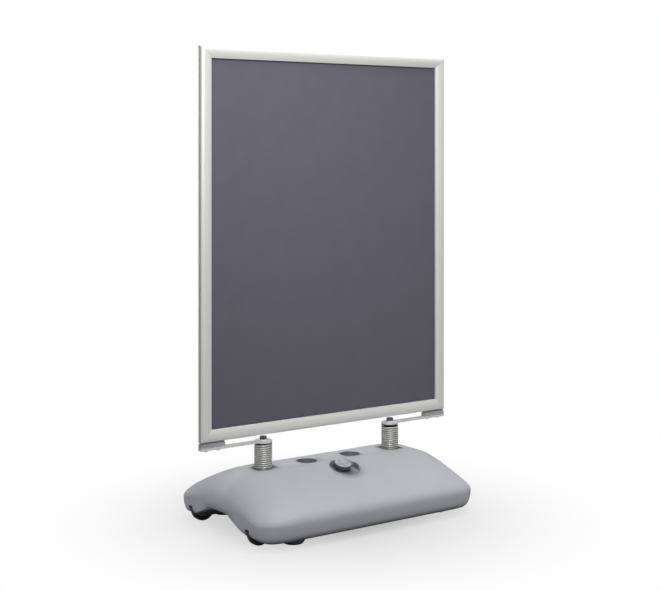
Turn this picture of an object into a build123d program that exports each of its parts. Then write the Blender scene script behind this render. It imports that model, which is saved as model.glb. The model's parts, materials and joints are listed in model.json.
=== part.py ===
from build123d import *
import math
import os

# Free-standing double-sided poster sign: a snap frame on two coil springs over a hollow wheeled base.
# Millimetres. X runs along the frame, Y from front (-) to back (+), Z up from the floor.

# ---- poster frame -------------------------------------------------------------------------------
POSTER_W = 558.8
POSTER_H = 711.2
POSTER_LAP = 7.5             # how far a rail's lip laps over the poster's edge
RAIL_FACE = 22.5             # width of a closed rail, seen from the front
FRAME_HALF_T = 9.0           # from the frame's middle plane to the crest of a rail
RAIL_WALL = 1.4
RAIL_CREST_U = 8.5           # crest of the rail's curve, in from the outer edge
RAIL_SIDE_V = 4.4            # where the rail's flat outer side ends and its curve begins
LIP_DROP = 2.2               # the lip's outer edge lies this far below the crest
LIP_ROUND = 0.8
MITRE_GAP = 0.1              # what each mitred end is cut back by
HINGE_U = 1.4                # the rail's hinge bead: centre in from the outer edge, out from the middle
HINGE_V = 3.4
BEAD_R = 1.0
BEAD_CLEARANCE = 0.08
BEAD_NOTCH_L = 3.9             # the bead stops this far short of each end, to turn past the next rail's
BEAD_NOTCH_U = 2.6
BEAD_NOTCH_V = (2.2, 4.6)
SPINE_WEB_HALF = 1.9
SPINE_WEB_U = 2.8
SPINE_BLOCK_U = (2.0, 13.0)
SPINE_BLOCK_HALF = 4.0
KEY_U = (4.2, 8.4)           # the corner key's bar across the spine's hollow
KEY_HALF = 1.9
KEY_LEG = 42.0
KEY_CLEARANCE = 0.15
BOARD_T = 1.6
BOARD_CLEARANCE = 0.15
BOARD_EDGE_U = 10.0
COVER_T = 0.8
COVER_GAP = 0.1
COVER_EDGE_U = 13.5
LIP_SEAT_GAP = 0.05
SNAP_L = 45.0                # leaf springs that hold the rails shut
SNAP_T = 0.4
SNAP_U = (6.0, 12.0)
SNAP_RISE = 2.8

# ---- base ---------------------------------------------------------------------------------------
BASE_L = 510.0
BASE_W = 335.0
BASE_H = 112.0
BASE_WALL = 4.0
RIDGE_HALF = 27.0            # half of the flat ridge that carries the springs
RIDGE_EASE = 34.0            # the slope leaves the ridge gently, leading on this far outwards
SLOPE_Y = 107.7              # the slope and the shoulder are drawn towards these two points
SLOPE_Z = 83.8
SHOULDER_Y = 162.7
SHOULDER_Z = 67.8
BELT_Z = 42.0                # height of the widest line
BELT_LEAD = 11.4             # the side rises straight from the belt before it turns in
SOLE_Y = 148.0
SOLE_Z = 10.0
TOP_ROUND_L = 90.0           # length over which each end of the ridge rounds down
TOP_ROUND_H = 56.0
PLAN_ROUND_L = 60.0
PLAN_ROUND_W = 45.0
SOLE_ROUND_L = 30.0
SOLE_ROUND_H = 20.0
FOOT_R = 26.0
FOOT_ROUND = 8.0
FOOT_BACK_X = 168.0          # feet beside the wheels
FOOT_FRONT_X = 190.0         # feet at the other end
FOOT_BACK_Y = 125.0
FOOT_FRONT_Y = 105.0
ARCH_TOP_Z = 45.0
ARCH_TOP_HALF = 31.0
ARCH_SOLE_HALF = 93.0
ARCH_SOLE_Z = 18.0
ARCH_L = 78.0
ARCH_CORNER_R = 8.0

# ---- wheels -------------------------------------------------------------------------------------
WHEEL_R = 25.0
WHEEL_T = 11.0
WHEEL_X = -228.0
WHEEL_Y = 103.0
WHEEL_ROUND = 2.0
WHEEL_DISH_R = 18.0
WHEEL_DISH = 2.0
WHEEL_HUB_R = 8.0
WELL_CLEARANCE = 3.0
WELL_SIDE = 1.5
AXLE_R = 4.0
AXLE_REACH = 8.0
AXLE_CLEARANCE = 0.05
AXLE_BOSS_WALL = 5.0

# ---- springs and their fixings ------------------------------------------------------------------
SPRING_X = 154.0
SPARE_X = 52.5
POCKET_R = 20.0
POCKET_DEPTH = 20.0
SPRING_R = 17.75
SPRING_WIRE = 4.1
SPRING_PITCH = 4.15
SPRING_TURNS = 15.35
PLUG_CLEARANCE = 0.3
LOWER_PLUG_H = 20.0
UPPER_PLUG_H = 18.0
FLANGE_T = 1.2
FLANGE_R = 17.4
BOLT_R = 4.0
BOLT_HOLE_R = 4.3
BOLT_FIT = 0.05
BOLT_HEAD_AF = 13.0
BOLT_HEAD_H = 5.5
WASHER_R = 8.0
WASHER_T = 1.6
TOP_BOLT_L = 20.0
BASE_BOLT_L = 90.0
SOLE_RECESS_R = 12.0
SOLE_RECESS_Z = 20.0

# ---- arms ---------------------------------------------------------------------------------------
ARM_T = 4.5
ARM_W = 12.0
EYE_R = 17.25
BLOCK_L = 53.0
BLOCK_W = 10.0
BLOCK_H = 7.6
BLOCK_NECK_H = 3.4
BLOCK_NECK_CLEARANCE = 0.1
SCREW_R = 1.4
SCREW_FIT = 0.1
SCREW_HEAD_R = 3.2
SCREW_HEAD_H = 2.2
SCREW_END_GAPS = (13.0, 40.0)
SCREW_INTO_SPINE = 3.6

# ---- filler -------------------------------------------------------------------------------------
CAP_Y = -49.0
CAP_TOP_Z = 109.5
CAP_TILT = 15.0
CAP_R = 16.5
CAP_H = 8.5
CAP_ROUND = 1.0
CAP_RELIEF = 0.8
CAP_GRIP_W = 6.0
NECK_R = 12.5
CAP_PLUG_CLEARANCE = 0.3
CAP_PLUG_L = 9.0
CAP_PLUG_WALL = 2.2
SEAL_T = 1.5
SEAL_R = 15.5
RECESS_R = 31.0
RECESS_OFFSET = (-3.0, -11.0)
NECK_L = 16.0

# ---- what follows from them ---------------------------------------------------------------------
RIM = RAIL_FACE - POSTER_LAP
FRAME_W = POSTER_W + 2 * RIM
FRAME_H = POSTER_H + 2 * RIM
POCKET_FLOOR_Z = BASE_H - POCKET_DEPTH
SPRING_TOP_Z = POCKET_FLOOR_Z + SPRING_TURNS * SPRING_PITCH + SPRING_WIRE
ARM_Z = SPRING_TOP_Z + FLANGE_T
BLOCK_Z = ARM_Z + ARM_T
FRAME_Z = BLOCK_Z + BLOCK_H + BLOCK_NECK_H
PLUG_R = SPRING_R - SPRING_WIRE - PLUG_CLEARANCE
COVER_V = BOARD_T / 2 + COVER_GAP
LIP_SEAT_V = COVER_V + COVER_T + LIP_SEAT_GAP
CAP_FRAME = Plane(origin=(0, CAP_Y, CAP_TOP_Z), x_dir=(1, 0, 0),
                  z_dir=(0, -math.sin(math.radians(CAP_TILT)), math.cos(math.radians(CAP_TILT))))
FLOOR_FRAME = CAP_FRAME.offset(-CAP_H - SEAL_T)

os.makedirs("parts", exist_ok=True)


def save(piece, name):
    """Label one finished piece and write it to its own file."""
    piece.label = name
    export_step(piece, f"parts/{name}.step")


def quarter(distance, start, reach, drop):
    """Drop of a quarter ellipse that starts at `start`, `reach` long and `drop` high."""
    share = min(max((distance - start) / reach, 0.0), 1.0)
    return drop * (1 - math.sqrt(1 - share * share))


# ================================ base ===========================================================

def base_outline(x, wall):
    """Half outline of the base across X = x, moved in by `wall`: what its ridge, slope, shoulder, belt
    and sole are drawn through."""
    reach = abs(x) * BASE_L / (BASE_L - 2 * wall)
    half = BASE_L / 2
    width = BASE_W / 2 - quarter(reach, half - PLAN_ROUND_L, PLAN_ROUND_L, PLAN_ROUND_W)
    top = BASE_H - quarter(reach, half - TOP_ROUND_L, TOP_ROUND_L, TOP_ROUND_H)
    sole = SOLE_Z + quarter(reach, half - SOLE_ROUND_L, SOLE_ROUND_L, SOLE_ROUND_H)
    across = (width - wall) / (BASE_W / 2)
    rise = (top - wall - BELT_Z) / (BASE_H - BELT_Z)
    fall = (BELT_Z - sole - wall) / (BELT_Z - SOLE_Z)
    corners = [(RIDGE_HALF, BASE_H), (RIDGE_HALF + RIDGE_EASE, BASE_H), (SLOPE_Y, SLOPE_Z),
               (SHOULDER_Y, SHOULDER_Z), (BASE_W / 2, BELT_Z + BELT_LEAD), (BASE_W / 2, BELT_Z),
               (SOLE_Y, SOLE_Z)]
    return [(y * across, BELT_Z + (z - BELT_Z) * (rise if z > BELT_Z else fall)) for y, z in corners]


def base_body(wall):
    """Closed rounded body of the base, lofted along X, moved in by `wall` all round."""
    half = BASE_L / 2 - wall
    round_l = TOP_ROUND_L * half / (BASE_L / 2)
    ends = [half - round_l * (1 - math.sin(math.radians(a))) for a in (0, 17, 34, 50, 65, 79, 90)]
    middle = half - round_l
    stations = [-x for x in reversed(ends)] + [-middle / 2, 0, middle / 2] + ends
    with BuildPart() as body:
        for x in stations:
            *slope, belt, sole = base_outline(x, wall)
            with BuildSketch(Plane.YZ.offset(x)):
                with BuildLine():
                    Line((-slope[0][0], slope[0][1]), slope[0])
                    for side in (-1, 1):
                        Bezier(*[(side * y, z) for y, z in slope + [belt]])
                    for side, start in ((-1, 180), (1, -90)):
                        EllipticalCenterArc((side * sole[0], belt[1]), belt[0] - sole[0], belt[1] - sole[1],
                                            start_angle=start, arc_size=90)
                    Line((-sole[0], sole[1]), sole)
                make_face()
        loft()
    return body.part


def arch(wall):
    """The gap under the wheeled end, grown by `wall`."""
    top = (ARCH_TOP_HALF + wall / 2, ARCH_TOP_Z + wall)
    low = (ARCH_SOLE_HALF + wall, ARCH_SOLE_Z + wall)
    with BuildPart() as gap:
        with BuildSketch(Plane.YZ.offset(-BASE_L / 2 - 1)):
            Polygon((-low[0], -1), (-low[0], low[1]), (-top[0], top[1]), top, low, (low[0], -1), align=None)
        extrude(amount=ARCH_L + 1 + wall)
        fillet(gap.edges().filter_by(Axis.X).group_by(Axis.Z)[-1], ARCH_CORNER_R)
    return gap.part


def wheel_wells(wall):
    """Round-topped slots for the two wheels, grown by `wall`."""
    radius = WHEEL_R + WELL_CLEARANCE + wall
    width = WHEEL_T + 2 * WELL_SIDE + 2 * wall
    with BuildPart() as wells:
        with BuildSketch(Plane.XZ) as side:
            with Locations((WHEEL_X, WHEEL_R)):
                Circle(radius)
                Rectangle(2 * radius, radius + 1, align=(Align.CENTER, Align.MAX))
        for y in (-WHEEL_Y, WHEEL_Y):
            extrude(side.sketch.moved(Location((0, y, 0))), amount=width / 2, both=True)
    return wells.part


def upright(x, radius, low, high):
    """Round column at (x, 0)."""
    with BuildPart() as column:
        with BuildSketch(Plane.XY.offset(low)):
            with Locations((x, 0)):
                Circle(radius)
        extrude(amount=high - low)
    return column.part


def axle_bosses():
    """Solid lugs either side of each wheel well that hold the axles."""
    with BuildPart() as bosses:
        for y in (-WHEEL_Y, WHEEL_Y):
            with BuildSketch(Plane.XZ.offset(-y)):
                with Locations((WHEEL_X, WHEEL_R)):
                    Circle(AXLE_R + AXLE_BOSS_WALL)
            extrude(amount=WHEEL_T / 2 + WELL_SIDE + AXLE_REACH + AXLE_BOSS_WALL, both=True)
    return bosses.part


def filler_core(radius, low, high, shift=(0, 0)):
    """Round column on the filler's tilted axis, from `low` to `high` measured from the recess floor."""
    with BuildPart() as core:
        with BuildSketch(FLOOR_FRAME.offset(low)):
            with Locations(shift):
                Circle(radius)
        extrude(amount=high - low)
    return core.part


ABOVE = 40.0                 # enough to clear the top of the base when a hole is cut down into it

with BuildPart() as water_space:
    add(base_body(BASE_WALL))
    add(arch(BASE_WALL), mode=Mode.SUBTRACT)
    add(wheel_wells(BASE_WALL), mode=Mode.SUBTRACT)
    add(axle_bosses(), mode=Mode.SUBTRACT)
    for x in (-SPRING_X, -SPARE_X, SPARE_X, SPRING_X):
        add(upright(x, POCKET_R + BASE_WALL, POCKET_FLOOR_Z - BASE_WALL, BASE_H + ABOVE), mode=Mode.SUBTRACT)
    for x in (-SPRING_X, SPRING_X):
        add(upright(x, SOLE_RECESS_R + BASE_WALL, 0, BASE_H), mode=Mode.SUBTRACT)
    add(filler_core(RECESS_R + BASE_WALL, -BASE_WALL, ABOVE, RECESS_OFFSET), mode=Mode.SUBTRACT)
    add(filler_core(NECK_R + BASE_WALL, -NECK_L, ABOVE), mode=Mode.SUBTRACT)

with BuildPart() as base_tank:
    add(base_body(0))
    for x, y in ((-FOOT_BACK_X, FOOT_BACK_Y), (FOOT_FRONT_X, FOOT_FRONT_Y)):
        for side in (-1, 1):
            with BuildSketch(Plane.XY):
                with Locations((x, side * y)):
                    Circle(FOOT_R - FOOT_ROUND)
            with BuildSketch(Plane.XY.offset(SOLE_Z + 1)):
                with Locations((x, side * y)):
                    Circle(FOOT_R)
            loft()
    add(water_space.part, mode=Mode.SUBTRACT)
    add(arch(0), mode=Mode.SUBTRACT)
    add(wheel_wells(0), mode=Mode.SUBTRACT)
    with BuildSketch(Plane.XZ):
        with Locations((WHEEL_X, WHEEL_R)):
            Circle(AXLE_R + AXLE_CLEARANCE)
    extrude(amount=WHEEL_Y + WHEEL_T / 2 + WELL_SIDE + AXLE_REACH, both=True, mode=Mode.SUBTRACT)
    for x in (-SPRING_X, -SPARE_X, SPARE_X, SPRING_X):
        add(upright(x, POCKET_R, POCKET_FLOOR_Z, BASE_H + ABOVE), mode=Mode.SUBTRACT)
    for x in (-SPRING_X, SPRING_X):
        add(upright(x, BOLT_HOLE_R, 0, BASE_H), mode=Mode.SUBTRACT)
        add(upright(x, SOLE_RECESS_R, 0, SOLE_RECESS_Z), mode=Mode.SUBTRACT)
    add(filler_core(RECESS_R, 0, ABOVE, RECESS_OFFSET), mode=Mode.SUBTRACT)
    add(filler_core(NECK_R, -NECK_L - BASE_WALL, ABOVE), mode=Mode.SUBTRACT)
save(base_tank.part, "base_tank")


# ================================ filler =========================================================

with BuildPart() as filler_cap:
    with BuildSketch(CAP_FRAME):
        Circle(CAP_R)
    extrude(amount=-CAP_H)
    fillet(filler_cap.edges().filter_by(GeomType.CIRCLE), CAP_ROUND)
    for turn in (0, 90):
        with BuildSketch(CAP_FRAME):
            Rectangle(CAP_R * 1.5, CAP_GRIP_W, rotation=turn)
        extrude(amount=CAP_RELIEF)
    with BuildSketch(FLOOR_FRAME.offset(SEAL_T)):
        Circle(NECK_R - CAP_PLUG_CLEARANCE)
    extrude(amount=-SEAL_T - CAP_PLUG_L)
    with BuildSketch(FLOOR_FRAME.offset(-CAP_PLUG_L)):
        Circle(NECK_R - CAP_PLUG_CLEARANCE - CAP_PLUG_WALL)
    extrude(amount=CAP_PLUG_L + SEAL_T, mode=Mode.SUBTRACT)
save(filler_cap.part, "filler_cap")

with BuildPart() as cap_seal:
    with BuildSketch(FLOOR_FRAME):
        Circle(SEAL_R)
        Circle(NECK_R, mode=Mode.SUBTRACT)
    extrude(amount=SEAL_T)
save(cap_seal.part, "cap_seal")


# ================================ wheels =========================================================

def wheel(y):
    """One moulded wheel with a rounded tread, dished sides and a hub."""
    with BuildPart() as disc:
        with BuildSketch(Plane.XZ.offset(-y)):
            with Locations((WHEEL_X, WHEEL_R)):
                Circle(WHEEL_R)
        extrude(amount=WHEEL_T / 2, both=True)
        fillet(disc.edges().filter_by(GeomType.CIRCLE), WHEEL_ROUND)
        for face in (-1, 1):
            with BuildSketch(Plane.XZ.offset(-y + face * (WHEEL_T / 2 - WHEEL_DISH))):
                with Locations((WHEEL_X, WHEEL_R)):
                    Circle(WHEEL_DISH_R)
                    Circle(WHEEL_HUB_R, mode=Mode.SUBTRACT)
            extrude(amount=face * WHEEL_DISH, mode=Mode.SUBTRACT)
        with BuildSketch(Plane.XZ.offset(-y)):
            with Locations((WHEEL_X, WHEEL_R)):
                Circle(AXLE_R + AXLE_CLEARANCE)
        extrude(amount=WHEEL_T, both=True, mode=Mode.SUBTRACT)
    return disc.part


def axle(y):
    """Plain pin that carries one wheel between the two lugs of its well."""
    with BuildPart() as pin:
        with BuildSketch(Plane.XZ.offset(-y)):
            with Locations((WHEEL_X, WHEEL_R)):
                Circle(AXLE_R)
        extrude(amount=WHEEL_T / 2 + WELL_SIDE + AXLE_REACH - 1, both=True)
    return pin.part


for end, y in (("front", -WHEEL_Y), ("rear", WHEEL_Y)):
    save(wheel(y), f"{end}_wheel")
    save(axle(y), f"{end}_axle")


# ================================ springs ========================================================

def coil(x, end_angle):
    """Close-wound coil standing in its pocket; its upper wire end points along `end_angle`."""
    helix_r = SPRING_R - SPRING_WIRE / 2
    rise = SPRING_TURNS * SPRING_PITCH
    start = end_angle - (SPRING_TURNS % 1) * 360
    path = Helix(SPRING_PITCH, rise, helix_r)
    with BuildPart() as spring:
        with BuildSketch(Plane(origin=path @ 0, z_dir=path % 0)):
            Circle(SPRING_WIRE / 2)
        sweep(path=path, is_frenet=True)
    return Pos(x, 0, POCKET_FLOOR_Z + SPRING_WIRE / 2) * Rot(0, 0, start) * spring.part


def bolt(x, under_head, length, up):
    """Hex-head bolt on the axis at x; `up` is 1 when its head is at the top."""
    with BuildPart() as screw:
        with BuildSketch(Plane.XY.offset(under_head)):
            with Locations((x, 0)):
                RegularPolygon(BOLT_HEAD_AF / 2, 6, major_radius=False)
        extrude(amount=up * BOLT_HEAD_H)
        with BuildSketch(Plane.XY.offset(under_head)):
            with Locations((x, 0)):
                Circle(BOLT_R)
        extrude(amount=-up * length)
    return screw.part


def ring(x, low, thickness, outer, inner):
    """Flat ring on the axis at x."""
    with BuildPart() as washer:
        with BuildSketch(Plane.XY.offset(low)):
            with Locations((x, 0)):
                Circle(outer)
                Circle(inner, mode=Mode.SUBTRACT)
        extrude(amount=thickness)
    return washer.part


for side, x, end_angle in (("left", -SPRING_X, 0), ("right", SPRING_X, 180)):
    save(coil(x, end_angle), f"spring_{side}")
    save(ring(x, POCKET_FLOOR_Z, LOWER_PLUG_H, PLUG_R, BOLT_R + BOLT_FIT), f"lower_plug_{side}")
    with BuildPart() as upper_plug:
        add(ring(x, SPRING_TOP_Z - UPPER_PLUG_H, UPPER_PLUG_H, PLUG_R, BOLT_R + BOLT_FIT))
        add(ring(x, SPRING_TOP_Z, FLANGE_T, FLANGE_R, BOLT_R + BOLT_FIT))
    save(upper_plug.part, f"upper_plug_{side}")

ENDS = (-SPRING_X, SPRING_X)
save(Compound([bolt(x, BLOCK_Z + WASHER_T, TOP_BOLT_L, 1) for x in ENDS]), "top_bolts")
save(Compound([ring(x, BLOCK_Z, WASHER_T, WASHER_R, BOLT_HOLE_R) for x in ENDS]), "top_washers")
save(Compound([bolt(x, SOLE_RECESS_Z - WASHER_T, BASE_BOLT_L, -1) for x in ENDS]), "base_bolts")
save(Compound([ring(x, SOLE_RECESS_Z - WASHER_T, WASHER_T, WASHER_R, BOLT_HOLE_R) for x in ENDS]),
     "base_washers")


# ================================ arms ===========================================================

def screw_places(side):
    """X of the screws that hold one arm and its block to the frame."""
    return [side * (FRAME_W / 2 - gap) for gap in SCREW_END_GAPS]


def arm(side):
    """Flat bar from the frame's lower corner to the eye on top of the spring."""
    with BuildPart() as bar:
        with BuildSketch(Plane.XY.offset(ARM_Z)):
            with Locations((side * SPRING_X, 0)):
                Circle(EYE_R)
            with Locations((side * (SPRING_X + FRAME_W / 2) / 2, 0)):
                Rectangle(FRAME_W / 2 - SPRING_X, ARM_W)
            with Locations((side * SPRING_X, 0)):
                Circle(BOLT_HOLE_R, mode=Mode.SUBTRACT)
            with Locations(*[(x, 0) for x in screw_places(side)]):
                Circle(SCREW_R + SCREW_FIT, mode=Mode.SUBTRACT)
        extrude(amount=ARM_T)
    return bar.part


def arm_block(side):
    """Spacer between the arm and the frame, with a narrow neck that leaves the rails room to open."""
    middle = side * (FRAME_W / 2 - BLOCK_L / 2)
    with BuildPart() as block:
        for low, high, width in ((BLOCK_Z, BLOCK_Z + BLOCK_H, BLOCK_W),
                                 (BLOCK_Z + BLOCK_H, FRAME_Z, 2 * (SPINE_WEB_HALF - BLOCK_NECK_CLEARANCE))):
            with BuildSketch(Plane.XY.offset(low)):
                with Locations((middle, 0)):
                    Rectangle(BLOCK_L, width)
                with Locations(*[(x, 0) for x in screw_places(side)]):
                    Circle(SCREW_R + SCREW_FIT, mode=Mode.SUBTRACT)
            extrude(amount=high - low)
    return block.part


def arm_screw(x):
    """Pan-head screw driven up through arm and block into the frame's spine."""
    with BuildPart() as screw:
        with BuildSketch(Plane.XY.offset(ARM_Z)):
            with Locations((x, 0)):
                Circle(SCREW_HEAD_R)
        extrude(amount=-SCREW_HEAD_H)
        with BuildSketch(Plane.XY.offset(ARM_Z)):
            with Locations((x, 0)):
                Circle(SCREW_R)
        extrude(amount=FRAME_Z - ARM_Z + SCREW_INTO_SPINE)
    return screw.part


for name, side in (("left", -1), ("right", 1)):
    save(arm(side), f"arm_{name}")
    save(arm_block(side), f"arm_block_{name}")
save(Compound([arm_screw(x) for side in (-1, 1) for x in screw_places(side)]), "arm_screws")


# ================================ poster frame ===================================================
# A side is made lying along X with its outer edge at Z = 0 and its face towards -Y. Its section is drawn
# with V, out from the frame's middle plane, across, and U, in from the outer edge, up.

SECTION = Plane(origin=(0, 0, 0), x_dir=(0, -1, 0), z_dir=(-1, 0, 0))
MIDDLE_Z = FRAME_Z + FRAME_H / 2
SIDES = {
    "bottom": (FRAME_W, Pos(0, 0, FRAME_Z)),
    "top": (FRAME_W, Pos(0, 0, FRAME_Z + FRAME_H) * Rot(0, 180, 0)),
    "left": (FRAME_H, Pos(-FRAME_W / 2, 0, MIDDLE_Z) * Rot(0, 90, 0)),
    "right": (FRAME_H, Pos(FRAME_W / 2, 0, MIDDLE_Z) * Rot(0, -90, 0)),
}


def mitred(section, length):
    """Bar of the given section along X, with both ends cut at 45 degrees."""
    with BuildPart() as bar:
        extrude(section.moved(Location((length / 2, 0, 0))), amount=length)
        for end in (-1, 1):
            cut = Plane(origin=(end * (length / 2 - MITRE_GAP), 0, 0), z_dir=(end, 0, 1))
            split(bisect_by=cut, keep=Keep.BOTTOM)
    return bar.part


def rail_section():
    """Curved snap rail: hinge bead, flat side, quarter-ellipse shoulder, sloping face and lip."""
    lip_u = RAIL_FACE - RAIL_WALL
    lip_drop = LIP_DROP * ((lip_u - RAIL_CREST_U) / (RAIL_FACE - RAIL_CREST_U)) ** 2
    crest = (FRAME_HALF_T, RAIL_CREST_U)
    lip = (FRAME_HALF_T - LIP_DROP, RAIL_FACE)
    inner_crest = (FRAME_HALF_T - RAIL_WALL, RAIL_CREST_U)
    inner_lip = (FRAME_HALF_T - RAIL_WALL - lip_drop, lip_u)
    shoulder = (RAIL_SIDE_V, RAIL_CREST_U)
    depth = FRAME_HALF_T - RAIL_SIDE_V
    with BuildSketch(SECTION) as sketch:
        with BuildLine():
            Line((HINGE_V, 0), (RAIL_SIDE_V, 0))
            EllipticalCenterArc(shoulder, depth, RAIL_CREST_U, start_angle=-90, arc_size=90)
            TangentArc(crest, lip, tangent=(0, 1))
            Polyline(lip, (LIP_SEAT_V, RAIL_FACE), (LIP_SEAT_V, lip_u), inner_lip)
            TangentArc(inner_crest, inner_lip, tangent=(0, 1))
            EllipticalCenterArc(shoulder, depth - RAIL_WALL, RAIL_CREST_U - RAIL_WALL,
                                start_angle=-90, arc_size=90)
            Polyline((RAIL_SIDE_V, RAIL_WALL), (HINGE_V, RAIL_WALL), (HINGE_V, 0))
        make_face()
        fillet(sketch.vertices().sort_by_distance(lip)[0], LIP_ROUND)
        with Locations((HINGE_V, HINGE_U)):
            Circle(BEAD_R)
    return sketch.sketch


def rail_bar(length):
    """Mitred snap rail whose hinge bead and side are notched at both ends."""
    low, high = BEAD_NOTCH_V
    with BuildPart() as bar:
        add(mitred(rail_section(), length))
        with Locations((-length / 2, -(low + high) / 2, 0), (length / 2, -(low + high) / 2, 0)):
            Box(2 * BEAD_NOTCH_L, high - low, 2 * BEAD_NOTCH_U, mode=Mode.SUBTRACT)
    return bar.part


def spine_section():
    """Spine extrusion: outer web, block with hinge grooves, hollow for the corner keys, board slot."""
    low, high = SPINE_BLOCK_U
    with BuildSketch(SECTION) as sketch:
        with Locations((0, SPINE_WEB_U / 2)):
            Rectangle(2 * SPINE_WEB_HALF, SPINE_WEB_U)
        with Locations((0, (low + high) / 2)):
            Rectangle(2 * SPINE_BLOCK_HALF, high - low)
        with Locations((-HINGE_V, HINGE_U), (HINGE_V, HINGE_U)):
            Circle(BEAD_R + BEAD_CLEARANCE, mode=Mode.SUBTRACT)
        with Locations((0, sum(KEY_U) / 2)):
            Rectangle(2 * (KEY_HALF + KEY_CLEARANCE), KEY_U[1] - KEY_U[0] + 2 * KEY_CLEARANCE,
                      mode=Mode.SUBTRACT)
        with Locations((0, BOARD_EDGE_U - BOARD_CLEARANCE)):
            Rectangle(BOARD_T + 2 * BOARD_CLEARANCE, high, align=(Align.CENTER, Align.MIN),
                      mode=Mode.SUBTRACT)
    return sketch.sketch


def leaf_springs(length):
    """Two bowed strips that lie on a spine's front face and press its rail shut."""
    with BuildPart() as leaves:
        with BuildSketch(Plane.XY.offset(SNAP_U[0])):
            for middle in (-length / 4, length / 4):
                with BuildLine():
                    for lift in (0, SNAP_T):
                        ThreePointArc((middle - SNAP_L / 2, -SPINE_BLOCK_HALF - lift),
                                      (middle, -SPINE_BLOCK_HALF - SNAP_RISE - lift),
                                      (middle + SNAP_L / 2, -SPINE_BLOCK_HALF - lift))
                    for end in (-1, 1):
                        Line((middle + end * SNAP_L / 2, -SPINE_BLOCK_HALF),
                             (middle + end * SNAP_L / 2, -SPINE_BLOCK_HALF - SNAP_T))
                make_face()
        extrude(amount=SNAP_U[1] - SNAP_U[0])
    return leaves.part


def sheet(edge_u, low_v, thickness):
    """Flat sheet inside the frame, its edges `edge_u` in from the frame's outer edge."""
    with BuildPart() as panel:
        with BuildSketch(Plane.XZ.offset(low_v)):
            with Locations((0, MIDDLE_Z)):
                Rectangle(FRAME_W - 2 * edge_u, FRAME_H - 2 * edge_u)
        extrude(amount=thickness)
    return panel.part


leaves = []
for side, (length, place) in SIDES.items():
    spine = place * mitred(spine_section(), length)
    if side == "bottom":
        with BuildPart() as screw_holes:
            with BuildSketch(Plane.XY.offset(FRAME_Z)):
                with Locations(*[(x, 0) for end in (-1, 1) for x in screw_places(end)]):
                    Circle(SCREW_R + SCREW_FIT)
            extrude(amount=SCREW_INTO_SPINE)
        spine -= screw_holes.part
    save(spine, f"spine_{side}")
    rail = place * rail_bar(length)
    save(rail, f"front_rail_{side}")
    save(mirror(rail, about=Plane.XZ), f"rear_rail_{side}")
    leaves += (place * leaf_springs(length)).solids()
save(Compound(leaves), "front_rail_springs")
save(Compound([mirror(leaf, about=Plane.XZ) for leaf in leaves]), "rear_rail_springs")

with BuildPart() as key:
    with BuildSketch(Plane.XZ.offset(-KEY_HALF)):
        near, far = KEY_U
        Polygon((near, near), (KEY_LEG, near), (KEY_LEG, far), (far, far), (far, KEY_LEG), (near, KEY_LEG),
                align=None)
    extrude(amount=2 * KEY_HALF)
corner = Pos(-FRAME_W / 2, 0, FRAME_Z) * key.part
lower = [corner, mirror(corner, about=Plane.YZ)]
save(Compound(lower + [mirror(piece, about=Plane.XY.offset(MIDDLE_Z)) for piece in lower]), "corner_keys")

save(sheet(BOARD_EDGE_U, -BOARD_T / 2, BOARD_T), "backing_board")
save(sheet(COVER_EDGE_U, COVER_V, COVER_T), "front_cover_sheet")
save(sheet(COVER_EDGE_U, -COVER_V - COVER_T, COVER_T), "rear_cover_sheet")
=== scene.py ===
import bpy
import bmesh
import json
import math
import numpy as np
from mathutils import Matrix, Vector


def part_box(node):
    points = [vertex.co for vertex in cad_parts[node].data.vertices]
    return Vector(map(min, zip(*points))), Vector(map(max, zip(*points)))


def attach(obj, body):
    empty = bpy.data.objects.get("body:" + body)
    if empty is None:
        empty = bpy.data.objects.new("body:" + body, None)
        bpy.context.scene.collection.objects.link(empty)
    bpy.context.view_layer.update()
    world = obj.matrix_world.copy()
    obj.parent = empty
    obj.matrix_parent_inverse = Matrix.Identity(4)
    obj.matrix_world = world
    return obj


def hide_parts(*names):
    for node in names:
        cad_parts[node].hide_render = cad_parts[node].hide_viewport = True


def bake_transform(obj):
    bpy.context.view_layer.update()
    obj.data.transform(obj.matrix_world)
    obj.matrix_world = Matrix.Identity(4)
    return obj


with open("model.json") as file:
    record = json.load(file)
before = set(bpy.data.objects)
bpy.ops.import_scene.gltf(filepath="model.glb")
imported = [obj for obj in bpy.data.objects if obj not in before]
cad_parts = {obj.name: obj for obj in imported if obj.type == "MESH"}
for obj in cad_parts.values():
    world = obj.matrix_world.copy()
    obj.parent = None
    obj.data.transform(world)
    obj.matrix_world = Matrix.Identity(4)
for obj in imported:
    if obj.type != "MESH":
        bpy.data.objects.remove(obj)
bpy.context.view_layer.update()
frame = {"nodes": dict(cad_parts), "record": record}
MM = 0.001


# ---- Base tank ----------------------------------------------------------------------------------
# One hollow shell blow-moulded in grey polyethylene, filled with water through its screw cap.
# The mould leaves a fine even grain, soft edges and slight waves where the wall cooled.

BASE_GREY = (0.415, 0.422, 0.452)
BASE_ROUGH = 0.46
DRIFT_LOW, DRIFT_HIGH = 0.3, 0.7     # nearly all of the slow noise lies between these
SHUT_IN, WIDE_OPEN = 0.4, 0.92       # share of open air at which the painted shade is full, and gone


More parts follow.
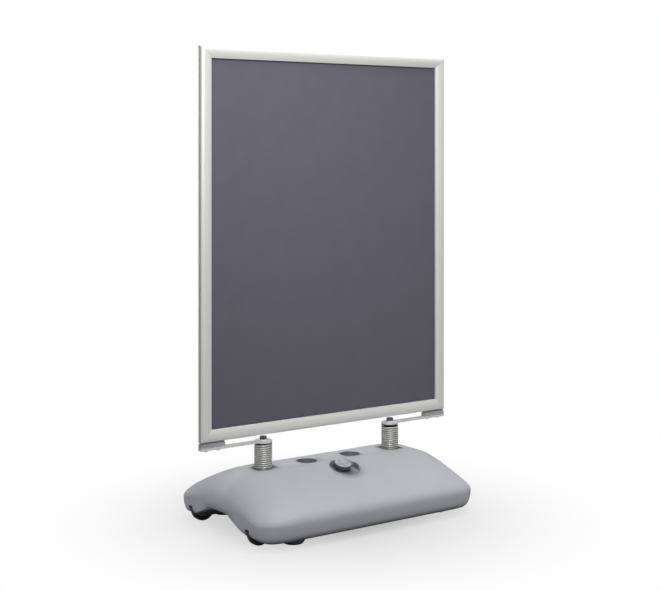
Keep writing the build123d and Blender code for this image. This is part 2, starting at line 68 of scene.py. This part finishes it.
def grained(name, colour, vary, rough, metallic=0.0, patch=18.0, grain=1400.0, bump=0.05, depth=0.2,
            stretch=(1, 1, 1), painted_shade=None):
    """Finish whose colour and roughness drift over patches and whose surface carries a fine grain.

    Colour is `colour` times 1 -+ `vary`, and roughness `rough` times 1 -+ 0.15, both by one slow noise;
    height is a fine noise `depth` mm deep. With `painted_shade` (reach in mm, darkest share of the colour)
    the colour is darkened as painted shade where other surfaces close in within reach."""
    made = bpy.data.materials.new(name)
    made.use_nodes = True
    tree = made.node_tree
    shader = tree.nodes["Principled BSDF"]
    place = tree.nodes.new("ShaderNodeTexCoord")
    turn = tree.nodes.new("ShaderNodeMapping")
    turn.inputs["Scale"].default_value = stretch
    tree.links.new(place.outputs["Object"], turn.inputs["Vector"])
    drift = tree.nodes.new("ShaderNodeTexNoise")
    drift.inputs["Scale"].default_value = patch
    drift.inputs["Detail"].default_value = 5.0
    fine = tree.nodes.new("ShaderNodeTexNoise")
    fine.inputs["Scale"].default_value = grain
    fine.inputs["Detail"].default_value = 3.0
    for noise in (drift, fine):
        tree.links.new(turn.outputs["Vector"], noise.inputs["Vector"])
    tint = tree.nodes.new("ShaderNodeValToRGB")
    for stop, factor in zip(tint.color_ramp.elements, (1 - vary, 1 + vary)):
        stop.color = (*[min(channel * factor, 1.0) for channel in colour], 1)
    tint.color_ramp.elements[0].position = DRIFT_LOW
    tint.color_ramp.elements[1].position = DRIFT_HIGH
    tree.links.new(drift.outputs["Fac"], tint.inputs["Fac"])
    colour_out = tint.outputs["Color"]
    # Painted shade: ambient occlusion darkens the colour where other surfaces close in.
    if painted_shade:
        closed_in = tree.nodes.new("ShaderNodeAmbientOcclusion")
        closed_in.samples = 8
        shade_reach, darkest = painted_shade
        closed_in.inputs["Distance"].default_value = shade_reach * MM
        shade_ramp = tree.nodes.new("ShaderNodeMapRange")
        shade_ramp.inputs["From Min"].default_value = SHUT_IN
        shade_ramp.inputs["From Max"].default_value = WIDE_OPEN
        shade_ramp.inputs["To Min"].default_value = darkest
        tree.links.new(closed_in.outputs["AO"], shade_ramp.inputs["Value"])
        darkened = tree.nodes.new("ShaderNodeVectorMath")
        darkened.operation = "SCALE"
        tree.links.new(colour_out, darkened.inputs["Vector"])
        tree.links.new(shade_ramp.outputs["Result"], darkened.inputs["Scale"])
        colour_out = darkened.outputs["Vector"]
    tree.links.new(colour_out, shader.inputs["Base Color"])
    shine = tree.nodes.new("ShaderNodeMapRange")
    shine.inputs["To Min"].default_value = rough * 0.85
    shine.inputs["To Max"].default_value = min(rough * 1.15, 1.0)
    tree.links.new(drift.outputs["Fac"], shine.inputs["Value"])
    tree.links.new(shine.outputs["Result"], shader.inputs["Roughness"])
    relief = tree.nodes.new("ShaderNodeBump")
    relief.inputs["Strength"].default_value = bump
    relief.inputs["Distance"].default_value = depth * MM
    tree.links.new(fine.outputs["Fac"], relief.inputs["Height"])
    tree.links.new(relief.outputs["Normal"], shader.inputs["Normal"])
    shader.inputs["Metallic"].default_value = metallic
    return made


def settle(piece, body, material, stands_for):
    """Give a finished piece its material and body, and hide the CAD nodes it stands for."""
    piece.data.materials.clear()
    piece.data.materials.append(material)
    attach(piece, body)
    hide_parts(*stands_for)
    return piece


def soften(piece, sharp, edge):
    """Shade smooth up to `sharp` degrees and round every sharper edge by `edge` mm."""
    piece.data.polygons.foreach_set("use_smooth", [True] * len(piece.data.polygons))
    piece.data.set_sharp_from_angle(angle=math.radians(sharp))
    if edge:
        rounded = piece.modifiers.new("edge", "BEVEL")
        rounded.width = edge * MM
        rounded.segments = 2
        rounded.limit_method = "ANGLE"
        rounded.angle_limit = math.radians(sharp)
        rounded.harden_normals = True
        rounded.use_clamp_overlap = True


def finished(node, body, material, sharp=35, edge=0.25):
    """The machined or moulded shape of a CAD node, joined into one skin with softened edges."""
    source = frame["nodes"][node].data
    skin = bpy.data.meshes.new(node + "_skin")
    work = bmesh.new()
    work.from_mesh(source)
    bmesh.ops.remove_doubles(work, verts=work.verts, dist=1e-6)
    work.to_mesh(skin)
    work.free()
    piece = bpy.data.objects.new(node + "_finished", skin)
    bpy.context.scene.collection.objects.link(piece)
    soften(piece, sharp, edge)
    return settle(piece, body, material, [node])


def from_axis(tree, centre, axis):
    """Distance of the shaded point p from the line through `centre` along `axis`: |(p - centre) x axis|."""
    spot = tree.nodes.new("ShaderNodeTexCoord")
    reach = tree.nodes.new("ShaderNodeVectorMath")
    reach.operation = "SUBTRACT"
    reach.inputs[1].default_value = centre
    across = tree.nodes.new("ShaderNodeVectorMath")
    across.operation = "CROSS_PRODUCT"
    across.inputs[1].default_value = axis
    span = tree.nodes.new("ShaderNodeVectorMath")
    span.operation = "LENGTH"
    tree.links.new(spot.outputs["Object"], reach.inputs[0])
    tree.links.new(reach.outputs["Vector"], across.inputs[0])
    tree.links.new(across.outputs["Vector"], span.inputs[0])
    return span.outputs["Value"]


def ramp(tree, value, start, end):
    """Smooth step of `value` from 0 at `start` to 1 at `end`."""
    step = tree.nodes.new("ShaderNodeMapRange")
    step.interpolation_type = "SMOOTHSTEP"
    step.inputs["From Min"].default_value = start
    step.inputs["From Max"].default_value = end
    tree.links.new(value, step.inputs["Value"])
    return step.outputs["Result"]


def paint_shade(material, mask, colour):
    """Paint shade: mix the material's colour towards `colour` where `mask` is 1."""
    shader = material.node_tree.nodes["Principled BSDF"]
    mix = material.node_tree.nodes.new("ShaderNodeMix")
    mix.data_type = "RGBA"
    material.node_tree.links.new(mask, mix.inputs["Factor"])
    material.node_tree.links.new(shader.inputs["Base Color"].links[0].from_socket, mix.inputs["A"])
    mix.inputs["B"].default_value = (*colour, 1)
    material.node_tree.links.new(mix.outputs["Result"], shader.inputs["Base Color"])


def both_of(tree, first, second):
    """Product of two masks: 1 only where both are 1."""
    product = tree.nodes.new("ShaderNodeMath")
    product.operation = "MULTIPLY"
    tree.links.new(first, product.inputs[0])
    tree.links.new(second, product.inputs[1])
    return product.outputs["Value"]


# Painted shade: the tank's colour darkens in its hollows, where other surfaces close in within 26 mm.
base_plastic = grained("base_plastic", BASE_GREY, vary=0.03, rough=BASE_ROUGH, patch=9, grain=900, bump=0.12,
                       depth=0.25, painted_shade=(26, 0.22))

# The two spare spring pockets and the back wall of the filler's recess are painted dark as shade.
SHADE_GREY = (0.072, 0.076, 0.088)
POCKET_SHADE_PAST = 0.4 * MM         # how far past a pocket's wall its painted shade is still full
POCKET_SHADE_FADE = 0.1 * MM
RECESS_R = 31.0 * MM
RECESS_ACROSS = -3.0 * MM            # the recess's middle from the cap's, along X
RECESS_DOWN = 11.0 * MM              # and down the slope
WALL_SHADE = (-4.5 * MM, -0.5 * MM)  # from the recess's rim: none at the first, full at the second
RIM_SHADE = (0.5 * MM, 0.3 * MM)
BACK_SHADE = (-12 * MM, 4 * MM)      # the same along Y, from the recess's middle

record = frame["record"]
tree = base_plastic.node_tree
for mount in record["mounts"]:
    if mount["kind"] == "bore":
        edge = mount["dims"]["r_mm"] * MM + POCKET_SHADE_PAST
        pocket = from_axis(tree, mount["pos_m"], (0, 0, 1))
        # Painted shade inside each spare pocket.
        paint_shade(base_plastic, ramp(tree, pocket, edge + POCKET_SHADE_FADE, edge), SHADE_GREY)

lift = next(joint for joint in record["behaviour"]["joints"] if joint["name"] == "cap_lift")
lift_axis = Vector(lift["axis"])
cap_low, cap_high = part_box("filler_cap")
downhill = Vector((0, -lift_axis.z, lift_axis.y))
recess_centre = (cap_low + cap_high) / 2 + Vector((RECESS_ACROSS, 0, 0)) + downhill * RECESS_DOWN
outwards = from_axis(tree, recess_centre, lift_axis)
wall = both_of(tree, ramp(tree, outwards, RECESS_R + WALL_SHADE[0], RECESS_R + WALL_SHADE[1]),
               ramp(tree, outwards, RECESS_R + RIM_SHADE[0], RECESS_R + RIM_SHADE[1]))
spot = tree.nodes.new("ShaderNodeTexCoord")
along = tree.nodes.new("ShaderNodeSeparateXYZ")
tree.links.new(spot.outputs["Object"], along.inputs["Vector"])
behind = ramp(tree, along.outputs["Y"], recess_centre.y + BACK_SHADE[0], recess_centre.y + BACK_SHADE[1])
# Painted shade on the back wall of the filler's recess.
paint_shade(base_plastic, both_of(tree, wall, behind), SHADE_GREY)
finished("base_tank", "base", base_plastic, sharp=28, edge=0)


# ---- Filler cap and seal ------------------------------------------------------------------------
# A moulded screw cap with a ribbed skirt and a raised cross grip, on a flat rubber ring in its well. The
# skirt's sides are painted dark as shade.

CAP_GREY = (0.40, 0.405, 0.43)
SKIRT_SHADE = (0.085, 0.09, 0.105)
SKIRT_TURN = (0.7, 0.3)              # cosine of the surface's lean off the cap's axis: top, then skirt

cap_plastic = grained("cap_plastic", CAP_GREY, vary=0.03, rough=0.42, patch=40, grain=1600, bump=0.1)
tree = cap_plastic.node_tree
surface = tree.nodes.new("ShaderNodeNewGeometry")
facing = tree.nodes.new("ShaderNodeVectorMath")
facing.operation = "DOT_PRODUCT"
facing.inputs[1].default_value = lift["axis"]
tree.links.new(surface.outputs["Normal"], facing.inputs[0])
skirt = tree.nodes.new("ShaderNodeMapRange")
skirt.inputs["From Min"].default_value, skirt.inputs["From Max"].default_value = SKIRT_TURN
tree.links.new(facing.outputs["Value"], skirt.inputs["Value"])
# Painted shade on the skirt: faces turned away from the cap's axis are darkened.
paint_shade(cap_plastic, skirt.outputs["Result"], SKIRT_SHADE)
finished("filler_cap", "cap", cap_plastic, edge=0.3)
seal_rubber = grained("seal_rubber", (0.02, 0.02, 0.022), vary=0.1, rough=0.7, patch=60, grain=2500, bump=0.2)
finished("cap_seal", "seal", seal_rubber, edge=0.2)


# ---- Wheels and axles ---------------------------------------------------------------------------
# Solid wheels moulded in dark plastic, each on a plain steel pin pressed into the lugs of its well.

wheel_plastic = grained("wheel_plastic", (0.035, 0.036, 0.04), vary=0.15, rough=0.5, patch=60, grain=1500,
                        bump=0.25)
axle_steel = grained("axle_steel", (0.5, 0.5, 0.5), vary=0.06, rough=0.35, metallic=1.0, patch=60, grain=1200,
                     stretch=(1, 0.05, 1))
for end in ("front", "rear"):
    finished(f"{end}_wheel", f"{end}_wheel", wheel_plastic, edge=0.3)
    finished(f"{end}_axle", "base", axle_steel, edge=0.4)


# ---- Coil springs -------------------------------------------------------------------------------
# Close-wound zinc-plated steel wire. Each coil screws onto a plug in the base and one under its arm.

SPRING_WIRE = 4.1 * MM
SPRING_SHOWN = 3.75 * MM     # drawn a little thinner, so that light falls in between the turns
SPRING_PITCH = 4.15 * MM
RING_STEPS = 64              # points round one turn of a coil
WIRE_STEPS = 14              # points round the wire
END_ROUND = 0.12             # share of the wire's radius by which its cut ends are rounded


def tube_along(path, radius, around):
    """Round wire carried along `path`: each ring is the path point plus `radius` times (cos a, sin a) in
    the plane across the path; both ends close on a slightly smaller ring and a centre point."""
    ahead = np.gradient(path, axis=0)
    ahead /= np.linalg.norm(ahead, axis=1)[:, None]
    side = np.cross(ahead, np.array([0, 0, 1.0]))
    side /= np.linalg.norm(side, axis=1)[:, None]
    rise = np.cross(side, ahead)
    angle = np.linspace(0, 2 * np.pi, around, endpoint=False)
    ends = radius * END_ROUND
    path = np.concatenate([path[:1] - ahead[:1] * ends, path, path[-1:] + ahead[-1:] * ends])
    side = np.concatenate([side[:1], side, side[-1:]])
    rise = np.concatenate([rise[:1], rise, rise[-1:]])
    size = np.full(len(path), radius)
    size[[0, -1]] = radius * (1 - END_ROUND)
    rings = path[:, None] + size[:, None, None] * (side[:, None] * np.cos(angle)[None, :, None]
                                                    + rise[:, None] * np.sin(angle)[None, :, None])
    points = np.concatenate([rings.reshape(-1, 3), path[:1], path[-1:]])
    along = np.arange(len(path) - 1)[:, None] * around
    here = np.arange(around)[None]
    after = (here + 1) % around
    quads = np.stack([along + here, along + after, along + around + after, along + around + here], -1)
    last = (len(path) - 1) * around
    first_fan = [(len(points) - 2, (i + 1) % around, i) for i in range(around)]
    last_fan = [(len(points) - 1, last + i, last + (i + 1) % around) for i in range(around)]
    return points, quads.reshape(-1, 4).tolist() + first_fan + last_fan


def skin_of(name, points, faces):
    """Mesh object from worked-out points and faces, with its faces turned outwards."""
    mesh = bpy.data.meshes.new(name)
    mesh.from_pydata(points.tolist(), [], faces)
    work = bmesh.new()
    work.from_mesh(mesh)
    bmesh.ops.recalc_face_normals(work, faces=work.faces)
    work.to_mesh(mesh)
    work.free()
    piece = bpy.data.objects.new(name, mesh)
    bpy.context.scene.collection.objects.link(piece)
    return piece


# Painted shade: the wire darkens where turns and plugs close in within 4 mm.
spring_steel = grained("spring_steel", (0.66, 0.66, 0.625), vary=0.04, rough=0.38, metallic=0.6, patch=60,
                       grain=1500, bump=0.1, painted_shade=(4, 0.15))
for side, wire_end in (("left", 0.0), ("right", math.pi)):
    low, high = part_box(f"spring_{side}")
    centre = (low + high) / 2
    radius = (high.x - low.x - SPRING_WIRE) / 2
    rise = high.z - low.z - SPRING_WIRE
    turns = rise / SPRING_PITCH
    steps = np.linspace(0, 1, int(turns * RING_STEPS))
    angle = wire_end + 2 * np.pi * turns * (steps - 1)
    path = np.stack([centre.x + radius * np.cos(angle), centre.y + radius * np.sin(angle),
                     low.z + SPRING_WIRE / 2 + rise * steps], 1)
    spring = skin_of(f"spring_{side}_coil", *tube_along(path, SPRING_SHOWN / 2, WIRE_STEPS))
    soften(spring, 60, 0)
    spring.data.materials.append(spring_steel)
    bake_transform(spring)
    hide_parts(f"spring_{side}")


# ---- Spring plugs, bolts and washers ------------------------------------------------------------
# Black moulded plugs inside the coils, drawn up by hex bolts: dark ones through the arms' eyes and two
# more from under the base.

plug_plastic = grained("plug_plastic", (0.02, 0.021, 0.024), vary=0.1, rough=0.5, patch=60, grain=1500,
                       bump=0.2)
bolt_steel = grained("bolt_steel", (0.10, 0.115, 0.13), vary=0.2, rough=0.4, metallic=0.8, patch=150,
                     grain=2500, bump=0.2)
zinc_steel = grained("zinc_steel", (0.80, 0.80, 0.79), vary=0.06, rough=0.42, metallic=0.5, patch=70,
                     grain=1800, bump=0.12)
for side in ("left", "right"):
    finished(f"lower_plug_{side}", "base", plug_plastic)
    finished(f"upper_plug_{side}", "sign", plug_plastic, edge=0.2)
finished("base_bolts", "base", bolt_steel, edge=0.4)
finished("top_bolts", "sign", bolt_steel, edge=0.5)
finished("base_washers", "base", zinc_steel)
finished("top_washers", "sign", zinc_steel)


# ---- Arms, spacer blocks and screws -------------------------------------------------------------
# Flat zinc-plated steel bars with a round eye over each spring; a grey plastic spacer lifts the frame.

block_plastic = grained("block_plastic", (0.34, 0.34, 0.355), vary=0.05, rough=0.5, patch=60, grain=1500,
                        bump=0.15)
for side in ("left", "right"):
    finished(f"arm_{side}", "sign", zinc_steel, edge=0.5)
    finished(f"arm_block_{side}", "sign", block_plastic, edge=0.5)
finished("arm_screws", "sign", zinc_steel, edge=0.5)


# ---- Spine, corner keys and leaf springs --------------------------------------------------------
# Four mitred aluminium extrusions keyed together at the corners, with the rails' leaf springs on them.

RAIL_SILVER, RAIL_ROUGH = (0.80, 0.80, 0.775), 0.36
SPINE_SILVER, SPINE_ROUGH = (0.5, 0.5, 0.49), 0.4
DRAW_LINE = 0.02                     # the grain is drawn out to 1/0.02 of its width along the extrusion
ACROSS, UPRIGHT = 0, 2               # the axis that an extrusion runs along: X or Z
RAIL_AXIS = {"bottom": ACROSS, "top": ACROSS, "left": UPRIGHT, "right": UPRIGHT}


def satin_aluminium(name, along, colour, rough):
    """Anodised extrusion: faint draw lines run along axis `along`."""
    stretch = [1.0, 1.0, 1.0]
    stretch[along] = DRAW_LINE
    return grained(name, colour, vary=0.025, rough=rough, metallic=0.45, patch=260, grain=1400, bump=0.05,
                   depth=0.1, stretch=stretch)


rail_finish = {along: satin_aluminium(f"rail_aluminium_{way}", along, RAIL_SILVER, RAIL_ROUGH)
               for along, way in ((ACROSS, "across"), (UPRIGHT, "upright"))}
spine_finish = {along: satin_aluminium(f"spine_aluminium_{way}", along, SPINE_SILVER, SPINE_ROUGH)
                for along, way in ((ACROSS, "across"), (UPRIGHT, "upright"))}
for side, along in RAIL_AXIS.items():
    finished(f"spine_{side}", "sign", spine_finish[along], edge=0.15)
finished("corner_keys", "sign", zinc_steel)
for face in ("front", "rear"):
    finished(f"{face}_rail_springs", "sign", zinc_steel, edge=0)


# ---- Backing board and cover sheets -------------------------------------------------------------
# A dark plastic board between two matt anti-glare sheets; no poster is fitted.

board_plastic = grained("board_plastic", (0.10, 0.10, 0.115), vary=0.04, rough=0.6, patch=20, grain=1500,
                        bump=0.1)
# Painted shadow: the sheets darken along the rails' inner edges, where the rails close in within 9 mm.
cover_plastic = grained("cover_plastic", (0.091, 0.087, 0.112), vary=0.035, rough=0.5, patch=30, grain=2200,
                        bump=0.25, depth=0.15, painted_shade=(9, 0.5))
finished("backing_board", "sign", board_plastic, edge=0.1)
for face in ("front", "rear"):
    finished(f"{face}_cover_sheet", "sign", cover_plastic, edge=0.1)


# ---- Snap rails ---------------------------------------------------------------------------------
# Curved aluminium extrusions, mitred at the corners. Each turns outwards on its bead to free the sheets.

RAIL_WALL = 1.4 * MM
RAIL_CREST = 8.5 * MM        # crest of the curve, in from the outer edge
RAIL_SIDE = 4.4 * MM         # top of the flat outer side, out from the middle of the frame
RAIL_DROP = 3.4 * MM         # from the crest down to the lip
RAIL_HINGE = (3.4 * MM, 1.4 * MM)    # the bead's centre: out from the middle plane, in from the outer edge
RAIL_PAST_SPINE = 0.1 * MM   # at each end
BEAD = 1.0 * MM              # radius
LIP_ROUND = 0.8 * MM
MITRE_GAP = 0.15 * MM
NOTCH_OUT, NOTCH_IN = 4.8 * MM, 2.7 * MM        # the part of the section that turns inwards on opening
NOTCH_LENGTH = 1.8 * MM
CURVE_STEPS, LIP_STEPS, BACK_STEPS, BEAD_STEPS = 16, 7, 12, 19


def rail_outline(depth, face, seat):
    """Closed outline (out from the middle plane, in from the outer edge) of a rail: a flat side, a quarter
    ellipse up to the crest, a parabola down to the lip, the lip's round edge, then the same curves back
    one wall further in, and the hinge bead's arc."""
    turn = np.linspace(0, np.pi / 2, CURVE_STEPS)
    shoulder = np.stack([RAIL_SIDE + (depth - RAIL_SIDE) * np.sin(turn), RAIL_CREST * (1 - np.cos(turn))], 1)
    span = face - RAIL_CREST
    run = np.linspace(0, 1, CURVE_STEPS)[1:]
    end = face - LIP_ROUND
    across = RAIL_CREST + run * (end - RAIL_CREST)
    slope = np.stack([depth - RAIL_DROP * ((across - RAIL_CREST) / span) ** 2, across], 1)
    arc = np.linspace(0, np.pi / 2, LIP_STEPS)[1:]
    top = slope[-1, 0]
    lip = np.stack([top - LIP_ROUND + LIP_ROUND * np.cos(arc), end + LIP_ROUND * np.sin(arc)], 1)
    inner_face = face - RAIL_WALL
    floor = np.array([[seat, face], [seat, inner_face]])
    back = np.linspace(1, 0, BACK_STEPS)
    across = RAIL_CREST + back * (inner_face - RAIL_CREST)
    under = np.stack([depth - RAIL_WALL - RAIL_DROP * ((across - RAIL_CREST) / span) ** 2, across], 1)
    inner = np.stack([RAIL_SIDE + (depth - RAIL_WALL - RAIL_SIDE) * np.sin(turn[::-1]),
                      RAIL_CREST - (RAIL_CREST - RAIL_WALL) * np.cos(turn[::-1])], 1)[1:]
    sweep = np.linspace(0, 1.5 * np.pi, BEAD_STEPS)[1:]
    bead = np.stack([RAIL_HINGE[0] + BEAD * np.cos(sweep), RAIL_HINGE[1] + BEAD * np.sin(sweep)], 1)
    heel = np.array([[RAIL_HINGE[0], 0.0]])
    return np.concatenate([shoulder, slope, lip, floor, under, inner, bead, heel])


def mitred_bar(outline, half_length):
    """The outline carried along a straight side: at each point the bar stops at half_length minus that
    point's distance in from the outer edge, which is a 45 degree mitre. The bead stops a notch short."""
    count = len(outline)
    by_the_hinge = (outline[:, 0] < NOTCH_OUT) & (outline[:, 1] < NOTCH_IN)
    reach = half_length - MITRE_GAP - outline[:, 1] - np.where(by_the_hinge, NOTCH_LENGTH, 0)
    stations = np.array([-1.0, -0.5, 0.0, 0.5, 1.0])
    lengths = stations[:, None] * reach[None]
    grid = np.stack([lengths, np.broadcast_to(outline[:, 0], lengths.shape),
                     np.broadcast_to(outline[:, 1], lengths.shape)], -1)
    here = np.arange(count)[None]
    after = (here + 1) % count
    row = np.arange(len(stations) - 1)[:, None] * count
    quads = np.stack([row + here, row + after, row + count + after, row + count + here], -1)
    ends = [list(range(count))[::-1], list(range((len(stations) - 1) * count, len(stations) * count))]
    return grid.reshape(-1, 3), quads.reshape(-1, 4).tolist() + ends


frame_low, frame_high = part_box("spine_bottom")
frame_low = Vector((frame_low.x, 0, frame_low.z))
frame_high = Vector((frame_high.x, 0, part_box("spine_top")[1].z))
middle = (frame_low + frame_high) / 2
for face, out in (("front", -1), ("rear", 1)):
    low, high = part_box(f"{face}_rail_bottom")
    depth = max(-low.y, high.y)
    seat = min(abs(low.y), abs(high.y))
    outline = rail_outline(depth, high.z - low.z, seat)
    for side, along in RAIL_AXIS.items():
        half_length = (frame_high[along] - frame_low[along]) / 2 + RAIL_PAST_SPINE
        bar, faces = mitred_bar(outline, half_length)
        x, v, u = bar.T
        y = out * v
        if side == "bottom":
            points = np.stack([x, y, frame_low.z + u], 1)
        elif side == "top":
            points = np.stack([x, y, frame_high.z - u], 1)
        elif side == "left":
            points = np.stack([frame_low.x + u, y, middle.z + x], 1)
        else:
            points = np.stack([frame_high.x - u, y, middle.z + x], 1)
        rail = skin_of(f"{face}_rail_{side}_extrusion", points, faces)
        soften(rail, 35, 0.12)
        settle(rail, f"{face}_rail_{side}", rail_finish[along], [f"{face}_rail_{side}"])


# ---- Studio: floor, lights and camera -----------------------------------------------------------
# A pale floor that runs off into a white surround, one broad light overhead and a weaker one in front.

FLOOR_HALF = 30.0
FLOOR_GREY = 0.36
FLOOR_NEAR, FLOOR_FAR = -0.35, 0.62      # from the object's middle: the floor turns to white between these
AMBIENT = 0.40


def seen_as_white(tree, shader_out, amount):
    """Show `shader_out` as it is to every ray but the camera's, which sees white by `amount` (0 to 1, or
    None for all white)."""
    path = tree.nodes.new("ShaderNodeLightPath")
    share = path.outputs["Is Camera Ray"]
    if amount is not None:
        share = both_of(tree, share, amount)
    white = tree.nodes.new("ShaderNodeEmission")
    white.inputs["Strength"].default_value = 1.0
    shown = tree.nodes.new("ShaderNodeMixShader")
    tree.links.new(share, shown.inputs["Fac"])
    tree.links.new(shader_out, shown.inputs[1])
    tree.links.new(white.outputs[0], shown.inputs[2])
    return shown.outputs[0]


floor_mesh = bpy.data.meshes.new("floor")
floor_mesh.from_pydata([(-FLOOR_HALF, -FLOOR_HALF, 0), (FLOOR_HALF, -FLOOR_HALF, 0),
                        (FLOOR_HALF, FLOOR_HALF, 0), (-FLOOR_HALF, FLOOR_HALF, 0)], [], [(0, 1, 2, 3)])
floor = bpy.data.objects.new("floor", floor_mesh)
bpy.context.scene.collection.objects.link(floor)
pale = bpy.data.materials.new("floor_pale")
pale.use_nodes = True
tree = pale.node_tree
pale_shader = tree.nodes["Principled BSDF"]
pale_shader.inputs["Base Color"].default_value = (FLOOR_GREY, FLOOR_GREY, FLOOR_GREY, 1)
pale_shader.inputs["Roughness"].default_value = 0.9
where = tree.nodes.new("ShaderNodeTexCoord")
distance = tree.nodes.new("ShaderNodeVectorMath")
distance.operation = "LENGTH"
tree.links.new(where.outputs["Object"], distance.inputs[0])
away = tree.nodes.new("ShaderNodeMapRange")
away.interpolation_type = "SMOOTHSTEP"
away.inputs["From Min"].default_value = FLOOR_NEAR
away.inputs["From Max"].default_value = FLOOR_FAR
tree.links.new(distance.outputs["Value"], away.inputs["Value"])
tree.links.new(seen_as_white(tree, pale_shader.outputs[0], away.outputs["Result"]),
               tree.nodes["Material Output"].inputs["Surface"])
floor_mesh.materials.append(pale)

world = bpy.data.worlds.new("studio")
world.use_nodes = True
tree = world.node_tree
surround = tree.nodes["Background"]
surround.inputs["Color"].default_value = (1.0, 1.0, 1.0, 1)
surround.inputs["Strength"].default_value = AMBIENT
tree.links.new(seen_as_white(tree, surround.outputs[0], None),
               tree.nodes["World Output"].inputs["Surface"])
bpy.context.scene.world = world


def softbox(name, place, aim, width, height, watts, spread=180):
    """Rectangular area light at `place`, turned to face `aim`; a grid narrows its `spread` (degrees)."""
    lamp = bpy.data.lights.new(name, "AREA")
    lamp.shape = "RECTANGLE"
    lamp.size, lamp.size_y, lamp.energy = width, height, watts
    lamp.spread = math.radians(spread)
    box = bpy.data.objects.new(name, lamp)
    box.location = place
    box.rotation_mode = "QUATERNION"
    box.rotation_quaternion = (Vector(aim) - Vector(place)).to_track_quat("-Z", "Y")
    bpy.context.scene.collection.objects.link(box)


softbox("overhead", place=(0.35, 0.1, 2.5), aim=(0, 0, 0.1), width=1.9, height=1.7, watts=54)
softbox("front_grid", place=(-0.75, -1.35, 1.6), aim=(-0.05, 0, 0.86), width=0.8, height=0.8, watts=4.6,
        spread=58)

VIEW_TURN = math.radians(35.325)     # the camera looks this far to the right of the frame's normal
VIEW_DISTANCE = 2.526                # from the camera to the frame's left edge, along the view
VIEW_ACROSS = 0.243                  # that edge lies this far to the left of the view's centre line
VIEW_HEIGHT = 0.549                  # above the frame's bottom edge
VIEW_SHIFT = -0.2217                 # the view stays level and is framed this far lower, in its widths
SENSOR, LENS = 36.0, 73.90909        # mm
camera_data = bpy.data.cameras.new("view")
camera_data.sensor_width = SENSOR
camera_data.lens = LENS
camera_data.shift_y = VIEW_SHIFT
camera = bpy.data.objects.new("view", camera_data)
right = Vector((math.cos(VIEW_TURN), -math.sin(VIEW_TURN), 0))
ahead = Vector((math.sin(VIEW_TURN), math.cos(VIEW_TURN), 0))
camera.location = frame_low + right * VIEW_ACROSS - ahead * VIEW_DISTANCE + Vector((0, 0, VIEW_HEIGHT))
camera.rotation_euler = (math.pi / 2, 0, -VIEW_TURN)
bpy.context.scene.collection.objects.link(camera)
bpy.context.scene.camera = camera
bpy.context.scene.view_settings.view_transform = "Standard"
